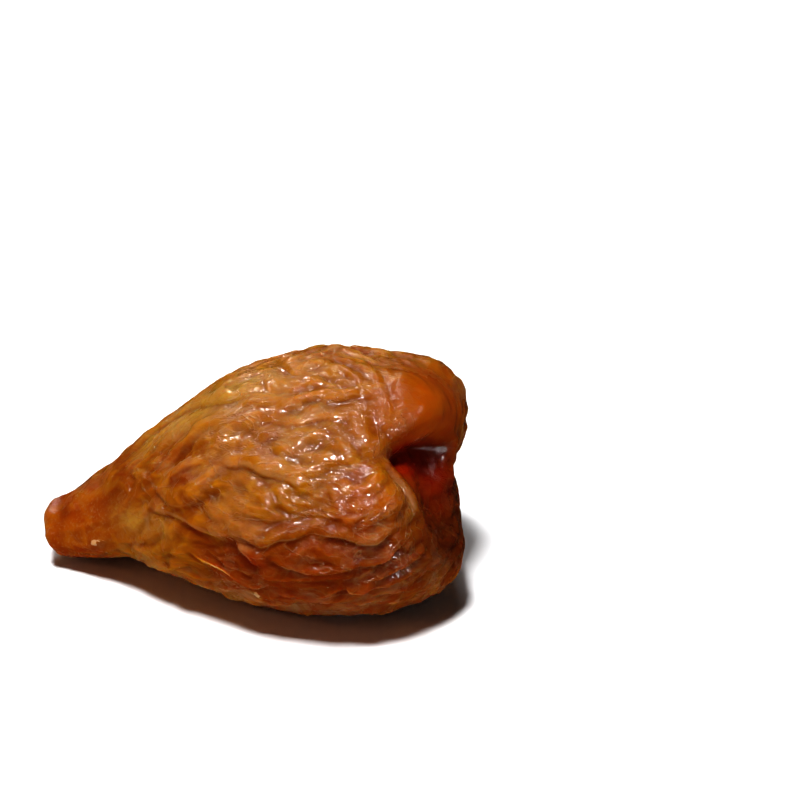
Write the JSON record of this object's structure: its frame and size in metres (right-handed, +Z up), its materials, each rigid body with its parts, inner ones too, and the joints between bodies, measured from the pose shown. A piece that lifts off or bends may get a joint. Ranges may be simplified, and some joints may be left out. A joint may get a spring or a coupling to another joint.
{
  "type": "dried fig",
  "caption": "Dried fig lying on its side: a soft, wrinkled pear with a stubby neck at one end and a deep cleft under the upper lobe of its rounded base.",
  "frame": {"origin": "bottom centre of the overall box, on the flat spot that the fig rests on", "axes": "+X from the neck to the base, +Z up, -Y the side that faces the camera"},
  "size_m": [0.051, 0.037, 0.0295],
  "materials": {
    "skin": "leathery amber fruit skin, half see-through, with a waxy sheen"
  },
  "bodies": {
    "root": {"fig": "skin"}
  },
  "joints": []
}
